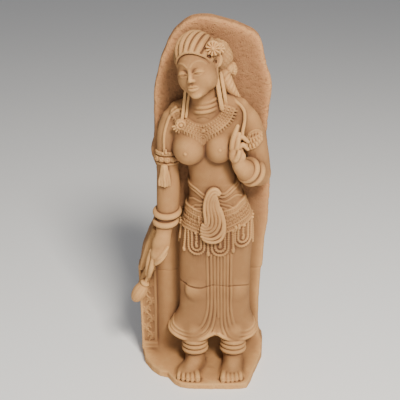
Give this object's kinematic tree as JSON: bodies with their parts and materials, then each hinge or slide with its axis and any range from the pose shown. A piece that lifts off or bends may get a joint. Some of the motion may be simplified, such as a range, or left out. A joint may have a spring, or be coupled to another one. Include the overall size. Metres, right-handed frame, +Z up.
{
  "type": "terracotta goddess relief statue",
  "caption": "Tabletop terracotta relief of a standing goddess with a lotus bud, in front of a rounded stele on a low rock foot.",
  "frame": {"origin": "middle of the foot, on the underside it stands on", "axes": "+X to the viewer's right, -Y towards the viewer, out of the relief, +Z up"},
  "size_m": [0.1372, 0.084, 0.36],
  "materials": {
    "terracotta": "matte"
  },
  "bodies": {
    "root": {"goddess_statue": "terracotta"}
  },
  "joints": []
}
